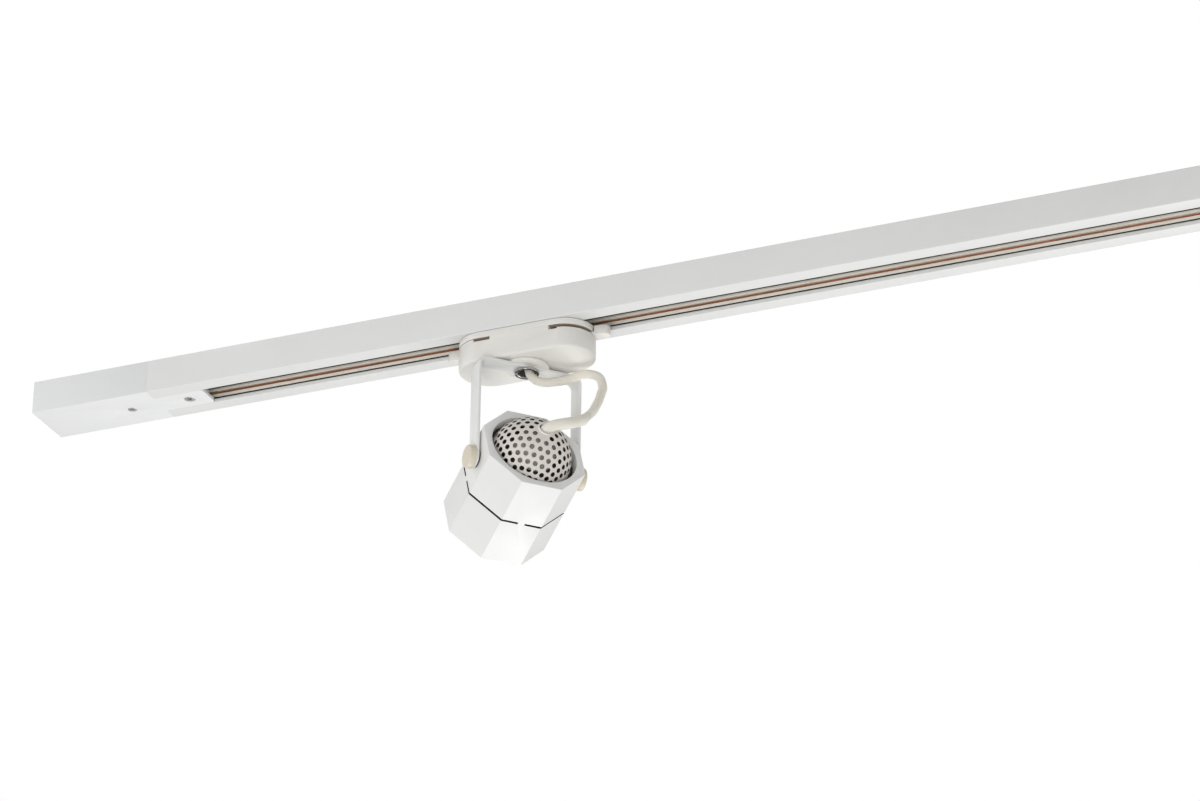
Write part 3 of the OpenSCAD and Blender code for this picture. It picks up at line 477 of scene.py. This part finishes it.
# Lamp cord: out of the swivel nipple, past the right arm and into the dome, in the yoke's frame
lampCord = {
    "diameter": 5.0, "sides": 16, "between": 6,
    "route": [
        (1.1, 0, -35), (1.1, 0, -39), (2.2, -0.7, -43.3), (5.3, -2.1, -46.4), (9.6, -4.1, -47.5),
        (14, -6, -47), (20.5, -8.5, -45.5), (25, -11, -43.5), (29, -14, -42.5), (33, -18, -44),
        (35, -21.5, -47.5), (35.5, -24, -54), (34, -25, -58.5), (32, -26.5, -63.5), (29.5, -28, -68.5),
        (26.5, -30, -73.5), (22.5, -31.5, -78), (19, -33.5, -81.5), (13.5, -34.5, -84.5), (7.5, -34, -86.5),
        (3, -31.5, -87.5), (0, -27, -89), (0, -21, -91.5)],
    "stillUntil": -50.0, "movesFrom": -86.0,
}

# Heat sleeve: shrunk on over the cord's last stretch, into the dome
heatSleeve = {"diameter": 6.3, "sides": 18, "fromKnot": 16, "tipWidth": 0.81, "taperSteps": 7}


# A smooth curve through the points of the route
def smoothPath(points, between):
    knots = [Vector(p) for p in points]
    knots = [2 * knots[0] - knots[1]] + knots + [2 * knots[-1] - knots[-2]]
    path = []
    for i in range(1, len(knots) - 2):
        a, b, c, d = knots[i - 1:i + 3]
        for k in range(between):
            s = k / between
            path.append(0.5 * (2 * b + (c - a) * s + (2 * a - 5 * b + 4 * c - d) * s ** 2
                               + (3 * b - a - 3 * c + d) * s ** 3))
    return path + [knots[-2]]


def makeTubeTree():
    tree, given, out = newTree("cordTube", [("Radius", "NodeSocketFloat"), ("Sides", "NodeSocketInt"),
                                            ("Material", "NodeSocketMaterial")])
    line = addNode(tree, "GeometryNodeMeshToCurve")
    ring = addNode(tree, "GeometryNodeCurvePrimitiveCircle")
    width = addNode(tree, "GeometryNodeInputNamedAttribute")
    tube = addNode(tree, "GeometryNodeCurveToMesh")
    width.inputs["Name"].default_value = "tubeWidth"
    tube.inputs["Fill Caps"].default_value = True
    link(tree, given.outputs["Geometry"], line.inputs["Mesh"])
    link(tree, given.outputs["Sides"], ring.inputs["Resolution"])
    link(tree, given.outputs["Radius"], ring.inputs["Radius"])
    link(tree, line.outputs["Curve"], tube.inputs["Curve"])
    link(tree, ring.outputs["Curve"], tube.inputs["Profile Curve"])
    link(tree, width.outputs["Attribute"], tube.inputs["Scale"])
    endTree(tree, given, out, tube.outputs["Mesh"])
    return tree


# Length along the cord and share of the way round it, for the braid
def wrapCord(mesh, sides, lengths):
    layer = mesh.uv_layers.new(name="cordWrap")
    for face in mesh.polygons:
        face.use_smooth = len(face.vertices) == 4
        steps = [v % sides for v in face.vertices]
        seam = 0 in steps and sides - 1 in steps
        for loop, vertex, step in zip(face.loop_indices, face.vertices, steps):
            layer.data[loop].uv = (lengths[vertex // sides] / mm, 1.0 if seam and step == 0 else step / sides)


def makeTube(name, spec, path, widths):
    lengths = [0.0]
    for a, b in zip(path, path[1:]):
        lengths.append(lengths[-1] + (b - a).length)
    seed = bpy.data.meshes.new(name + "Line")
    seed.from_pydata(path, [(i, i + 1) for i in range(len(path) - 1)], [])
    seed.attributes.new("tubeWidth", "FLOAT", "POINT").data.foreach_set("value", widths)
    mesh = grow(name, seed, makeTubeTree(), {
        "Radius": spec["diameter"] / 2 * mm, "Sides": spec["sides"], "Material": cordSleeve})
    wrapCord(mesh, spec["sides"], lengths)
    return placeMesh(name, mesh, cordSleeve), lengths[-1]


# Bakes the piece's placement into its mesh
def bendWithTilt(piece):
    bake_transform(piece)


def makeCord(spec, over):
    path = [yokePlace @ (p * mm) for p in smoothPath(spec["route"], spec["between"])]
    cord, length = makeTube("lampCord", spec, path, [1.0] * len(path))
    covered = path[over["fromKnot"] * spec["between"]:]
    shares = [min(1.0, i / over["taperSteps"]) for i in range(len(covered))]
    sleeve, sleeveLength = makeTube("heatSleeve", over, covered, [
        over["tipWidth"] + (1 - over["tipWidth"]) * s * s * (3 - 2 * s) for s in shares])
    for piece in (cord, sleeve):
        bendWithTilt(piece)
    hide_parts("lamp_cord")
    print("cord", round(length / mm, 1), "mm, sleeve", round(sleeveLength / mm, 1), "mm")


makeCord(lampCord, heatSleeve)


# Moulded, folded and sawn edges: each shown solid gets its small rounding
softEdges = {
    "track_profile": (0.45, 3), "end_cap": (0.6, 3), "feed_cover": (0.5, 3), "adapter_body": (0.3, 2),
    "adapter_top_plate": (0.35, 3), "lock_lever_left": (0.3, 2), "lock_lever_right": (0.3, 2),
    "swivel_disc": (0.3, 2), "swivel_nipple": (0.25, 2), "yoke_strap": (0.25, 2), "lamp_housing": (0.35, 3),
    "dome_collar": (0.15, 2), "front_ring": (0.2, 2), "tilt_knobs": (0.35, 3), "tilt_washers": (0.1, 2),
}


def softenNode(node, width, steps):
    mesh = mergedCopy(node, joinFlat=True)
    smoothShade(mesh)
    piece = placeMesh(node + "_soft", mesh, finishOf[slotOf[node]])
    edge = piece.modifiers.new("edge", "BEVEL")
    edge.width, edge.segments, edge.limit_method = width * mm, steps, "ANGLE"
    edge.angle_limit = math.radians(creaseAngle)
    edge.harden_normals = True
    piece.data = frozenMesh(piece)
    standFor(piece, node)
    return piece


softPieces = {node: softenNode(node, width, steps) for node, (width, steps) in softEdges.items()}
print("edges softened", len(softPieces))


# Painted shade in the head: its bore, the cuts of its slits, and the dome's holes, foot and inner face are
# painted dark where shade falls
headInside = {"boreR": 26.7, "shoulderZ": 7.9, "slitZ": -15.7, "slitHalf": 0.66,
              "domeZ": 7.0, "holesFromZ": 8.5, "innerFacing": -0.7, "holeFacing": 0.5, "footFacing": 0.9,
              "holderR": 11.9, "flangeZ": 9.3}


# Painted shade: the picked faces get a dark finish where shade falls in hollows, gaps and slits
def paintShadeOnFaces(mesh, place, isShaded, shade=blackSteelAndShade):
    mesh.materials.append(shade)
    toPlace = place.inverted()
    turn = toPlace.to_3x3()
    for face in mesh.polygons:
        if isShaded(toPlace @ face.center / mm, turn @ face.normal):
            face.material_index = 1


# A merged copy of a node, with painted shade on the picked faces
def dressNode(node, name, place, isShaded):
    mesh = mergedCopy(node)
    smoothShade(mesh, creaseAngle)
    piece = placeMesh(name, mesh, finishOf[slotOf[node]])
    paintShadeOnFaces(mesh, place, isShaded)
    standFor(piece, node)


def inBoreOrSlit(at, facing):
    outward = at.x * facing.x + at.y * facing.y
    bore = outward < 0 and math.hypot(at.x, at.y) < headInside["boreR"] and at.z < headInside["shoulderZ"]
    slit = outward < headInside["boreR"] / 2 and abs(at.z - headInside["slitZ"]) < headInside["slitHalf"]
    return bore or slit


def inDome(at, facing):
    outward = (at - Vector((0, 0, headInside["domeZ"]))).normalized().dot(facing)
    inFoot = facing.z > headInside["footFacing"] and at.z < headInside["holesFromZ"]
    inHole = outward < headInside["holeFacing"] and at.z > headInside["holesFromZ"]
    return inFoot or inHole or outward < headInside["innerFacing"]


# Painted shade: the holder's flange inside the head is painted dark
def onFlange(at, facing):
    return math.hypot(at.x, at.y) > headInside["holderR"] and at.z < headInside["flangeZ"]


# Painted shade in the housing's bore and slit cuts, and in the dome's holes, foot and inner face
paintShadeOnFaces(softPieces["lamp_housing"].data, headPlace, inBoreOrSlit)
dressNode("perforated_dome", "perforated_dome_sheet", headPlace, inDome)
dressNode("lampholder", "lampholder_block", headPlace, onFlange)
print("head dark inside")


# Painted shade keeps the liners' grooves, the nipple's bore and the lever slots dark
darkGaps = {"linerY": 12.35, "grooveZ": (-8.5, -15.1), "grooveHalf": 0.41, "nippleR": 5.0, "slotZ": -24.9,
            "slotHalf": 0.3, "wallFacing": 0.3, "roofFacing": -0.9}


def inGroove(at, facing):
    atGroove = any(abs(at.z - z) < darkGaps["grooveHalf"] for z in darkGaps["grooveZ"])
    return atGroove and abs(at.y) > darkGaps["linerY"]


def inNipple(at, facing):
    return at.x * facing.x + at.y * facing.y < 0 and math.hypot(at.x, at.y) < darkGaps["nippleR"]


def inLeverSlot(at, facing):
    return abs(facing.z) < darkGaps["wallFacing"] and abs(at.z - darkGaps["slotZ"]) < darkGaps["slotHalf"]


def overLeverSlot(at, facing):
    return facing.z < darkGaps["roofFacing"]


# Painted shade in the liners' grooves, the nipple's bore and the lever slots
for side in ("near", "far"):
    dressNode("liner_" + side, "liner_" + side + "_strip", Matrix.Identity(4), inGroove)
paintShadeOnFaces(softPieces["swivel_nipple"].data, yokePlace, inNipple)
paintShadeOnFaces(softPieces["adapter_body"].data, Matrix.Identity(4), inLeverSlot, slotShade)
paintShadeOnFaces(softPieces["adapter_top_plate"].data, Matrix.Identity(4), overLeverSlot, slotShade)
print("gaps dark")


# Feed screws: cross-recessed heads, one in the cover and one in the tongue
feedScrews = {
    "places": [("feed_cover_screw", 1.0, 0.35), ("feed_lock_screw", 1.2, 1.1)],
    "faceZ": -19.7, "headR": 2.5, "headH": 1.1, "shankR": 1.5, "shankH": 14.5, "sides": 24, "sharpFrom": 30,
    "crownShare": 0.8, "crownZ": -0.12, "rimZ": 0.1,
    "crossZ": -0.16, "crossDepth": 0.7, "crossFloor": 0.8, "armHalf": 0.14, "armReach": 0.56,
}


def screwMesh(spec):
    work = bmesh.new()
    headR, shankR = spec["headR"] * mm, spec["shankR"] * mm

    def ring(radius, z):
        return [work.verts.new(at) for at in circle(radius, z * mm, spec["sides"])]

    def skirt(low, high):
        for k in range(len(low)):
            j = (k + 1) % len(low)
            work.faces.new((low[k], low[j], high[j], high[k]))

    def cross(size, z):
        w, r = spec["armHalf"] * size, spec["armReach"] * size
        corners = [(w, w), (r, w), (r, -w), (w, -w), (w, -r), (-w, -r),
                   (-w, -w), (-r, -w), (-r, w), (-w, w), (-w, r), (w, r)]
        return [work.verts.new((x, y, z * mm)) for x, y in corners[::-1]]

    rings = [ring(headR * spec["crownShare"], spec["crownZ"]), ring(headR, spec["rimZ"]),
             ring(headR, spec["headH"]), ring(shankR, spec["headH"]), ring(shankR, spec["shankH"])]
    for low, high in zip(rings, rings[1:]):
        skirt(low, high)
    work.faces.new(rings[-1])
    top, bottom = cross(headR, spec["crossZ"]), cross(headR * spec["crossFloor"], spec["crossDepth"])
    skirt(bottom, top)
    work.faces.new(bottom)
    rims = [work.edges.get(pair) for loop in (rings[0], top) for pair in zip(loop, loop[1:] + loop[:1])]
    bmesh.ops.bridge_loops(work, edges=rims)
    bmesh.ops.recalc_face_normals(work, faces=work.faces)
    mesh = bpy.data.meshes.new("crossScrew")
    work.to_mesh(mesh)
    work.free()
    return mesh


def makeScrewTree():
    tree, given, out = newTree("screwRow", [("Screw", "NodeSocketObject"),
                                            ("Material", "NodeSocketMaterial")])
    pick = addNode(tree, "GeometryNodeObjectInfo")
    size = addNode(tree, "GeometryNodeInputNamedAttribute")
    spin = addNode(tree, "GeometryNodeInputNamedAttribute")
    put = addNode(tree, "GeometryNodeInstanceOnPoints")
    turn = addNode(tree, "ShaderNodeCombineXYZ")
    size.inputs["Name"].default_value, spin.inputs["Name"].default_value = "screwSize", "screwTurn"
    link(tree, given.outputs["Screw"], pick.inputs["Object"])
    link(tree, given.outputs["Geometry"], put.inputs["Points"])
    link(tree, pick.outputs["Geometry"], put.inputs["Instance"])
    link(tree, size.outputs["Attribute"], put.inputs["Scale"])
    link(tree, spin.outputs["Attribute"], turn.inputs["Z"])
    link(tree, turn.outputs["Vector"], put.inputs["Rotation"])
    endTree(tree, given, out, put.outputs["Instances"])
    return tree


def makeScrews(spec):
    model = placeMesh("crossScrew", screwMesh(spec))
    names, sizes, turns = zip(*spec["places"])
    points = []
    for node in names:
        low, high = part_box(node)
        points.append(((low[0] + high[0]) / 2, (low[1] + high[1]) / 2, spec["faceZ"] * mm))
    seed = bpy.data.meshes.new("screwPoints")
    seed.from_pydata(points, [], [])
    for label, values in (("screwSize", sizes), ("screwTurn", turns)):
        seed.attributes.new(label, "FLOAT", "POINT").data.foreach_set("value", values)
    mesh = grow("feedScrews", seed, makeScrewTree(), {"Screw": model, "Material": steelBare})
    bpy.data.objects.remove(model)
    screws = placeMesh("feedScrews", mesh, steelBare)
    smoothShade(mesh, spec["sharpFrom"])
    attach(screws, "track")
    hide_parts(*names)


makeScrews(feedScrews)
print("screws made")


# GU10 lamp: bowl with a facetted mirror, turned about the head's axis, and its burner behind the glass
lampBulb = {
    "frontZ": -43.5, "facets": 30, "sharpFrom": 40,
    "bowl": [(0, 46.5), (10.4, 46.5), (11, 45.9), (11, 34.5), (13.2, 30.6), (17, 24.5), (22, 14.5),
             (24.6, 6.6), (25, 6), (25, 0.6), (24.6, 0), (23.4, 0), (23, 0.4), (23, 2.5), (21, 2.5)],
    "mirrorEdge": 21.0, "mirrorHole": 5.0, "mirrorFrom": 2.5, "mirrorDepth": 23.0, "mirrorRows": 7,
    "burner": [(0, 8.5), (1.6, 9), (3, 10.5), (3.6, 12.5), (3.6, 20), (4.4, 21), (4.4, 27)],
    "burnerSides": 20,
}


def lathe(name, profile, sides, place):
    work = bmesh.new()
    rows = []
    for radius, z in profile:
        corners = circle(radius * mm, z * mm, sides) if radius else [(0, 0, z * mm)]
        rows.append([work.verts.new(at) for at in corners])
    for low, high in zip(rows, rows[1:]):
        for k in range(sides):
            j = k + 1
            corners = [low[k % len(low)], low[j % len(low)], high[j % len(high)], high[k % len(high)]]
            work.faces.new(list(dict.fromkeys(corners)))
    bmesh.ops.recalc_face_normals(work, faces=work.faces)
    mesh = bpy.data.meshes.new(name)
    work.to_mesh(mesh)
    work.free()
    mesh.transform(place)
    return mesh


def makeLamp(spec):
    place = headPlace @ Matrix.Translation((0, 0, spec["frontZ"] * mm))
    edge, hole, rows = spec["mirrorEdge"], spec["mirrorHole"], spec["mirrorRows"]
    mirror = []
    for i in range(1, rows + 1):
        share = i / rows
        depth = spec["mirrorFrom"] + spec["mirrorDepth"] * (1 - (1 - share) ** 2)
        mirror.append((edge + (hole - edge) * share, depth))
    profile = spec["bowl"] + mirror + [(0, mirror[-1][1])]
    mesh = lathe("lampBulb", profile, spec["facets"], place)
    bulb = placeMesh("lampBulb", mesh, ceramicBody, chromePlate)
    for i, face in enumerate(mesh.polygons):
        inside = i // spec["facets"] >= len(spec["bowl"]) - 1
        face.material_index = 1 if inside else 0
        face.use_smooth = not inside
    mesh.set_sharp_from_angle(angle=math.radians(spec["sharpFrom"]))
    burnerMesh = lathe("lampBurner", spec["burner"], spec["burnerSides"], place)
    burner = placeMesh("lampBurner", burnerMesh, ceramicBody)
    smoothShade(burnerMesh)
    for piece in (bulb, burner):
        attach(piece, "head")
    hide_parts("lamp_body")


makeLamp(lampBulb)
print("lamp made")


# Light: a room lit from overhead, behind and both ends, with a pale floor and four soft boxes out of view
room = {
    "floorZ": -1.9, "floorHalf": 40.0, "floorColour": (0.9, 0.9, 0.895), "floorShade": (0.88, 0.88, 0.875),
    "floorCloud": 1.2, "floorRange": (0.3, 0.7), "floorRough": 0.9, "boxSize": 0.8, "aim": (-0.27, 0, -0.1),
    "walls": [((1, 0, 0), 0.608), ((-1, 0, 0), 0.79), ((0, 1, 0), 0.527), ((0, 0, 1), 0.41)],
    "boxes": [("boxFront", (0.2, -0.8, -0.55), 1.8, 10.1), ("boxBehind", (0.1, 0.6, -0.8), 1.6, 8.9),
              ("boxLeft", (-0.7, -0.5, 0.5), 2.0, 2.6), ("boxLow", (-0.6, -0.75, -0.2), 2.0, 5.7)],
}


def makeFloor(spec):
    mat, tree, shader = newMaterial("paleFloor")
    cloud = spread(tree, noise(tree, objectCoords(tree), spec["floorCloud"]), *spec["floorRange"])
    link(tree, mixColour(tree, cloud, spec["floorColour"], spec["floorShade"]), shader.inputs["Base Color"])
    shader.inputs["Roughness"].default_value = spec["floorRough"]
    half, z = spec["floorHalf"], spec["floorZ"]
    mesh = bpy.data.meshes.new("paleFloor")
    corners = [(-half, -half, z), (half, -half, z), (half, half, z), (-half, half, z)]
    mesh.from_pydata(corners, [], [(0, 1, 2, 3)])
    placeMesh("paleFloor", mesh, mat)


# The walls give light, and the camera sees plain white behind the part
def makeWorld(spec):
    world = bpy.data.worlds.new("studioWhite")
    scene.world = world
    world.use_nodes = True
    tree = world.node_tree
    back = next(n for n in tree.nodes if n.type == "BACKGROUND")
    outNode = next(n for n in tree.nodes if n.type == "OUTPUT_WORLD")
    coords = addNode(tree, "ShaderNodeTexCoord")
    level = 0.0
    for axis, strength in spec["walls"]:
        dot = addNode(tree, "ShaderNodeVectorMath", operation="DOT_PRODUCT")
        dot.inputs[1].default_value = axis
        link(tree, coords.outputs["Generated"], dot.inputs[0])
        facing = maths(tree, "MAXIMUM", dot.outputs["Value"], 0.0)
        level = maths(tree, "ADD", level, maths(tree, "MULTIPLY", facing, strength))
    link(tree, level, back.inputs["Strength"])
    back.inputs["Color"].default_value = (1, 1, 1, 1)
    white = addNode(tree, "ShaderNodeBackground")
    white.inputs["Color"].default_value = (1, 1, 1, 1)
    path = addNode(tree, "ShaderNodeLightPath")
    mix = addNode(tree, "ShaderNodeMixShader")
    link(tree, path.outputs["Is Camera Ray"], mix.inputs["Fac"])
    link(tree, back.outputs[0], mix.inputs[1])
    link(tree, white.outputs[0], mix.inputs[2])
    link(tree, mix.outputs[0], outNode.inputs["Surface"])


def makeBoxes(spec):
    for name, direction, distance, watts in spec["boxes"]:
        data = bpy.data.lights.new(name, "AREA")
        data.shape, data.size, data.energy = "DISK", spec["boxSize"], watts
        box = bpy.data.objects.new(name, data)
        away = Vector(direction).normalized()
        box.location = Vector(spec["aim"]) + away * distance
        box.rotation_mode = "QUATERNION"
        box.rotation_quaternion = away.to_track_quat("Z", "Y")
        box.visible_camera = False
        scene.collection.objects.link(box)


makeFloor(room)
makeWorld(room)
makeBoxes(room)
scene.view_settings.view_transform = "Standard"
print("light set")
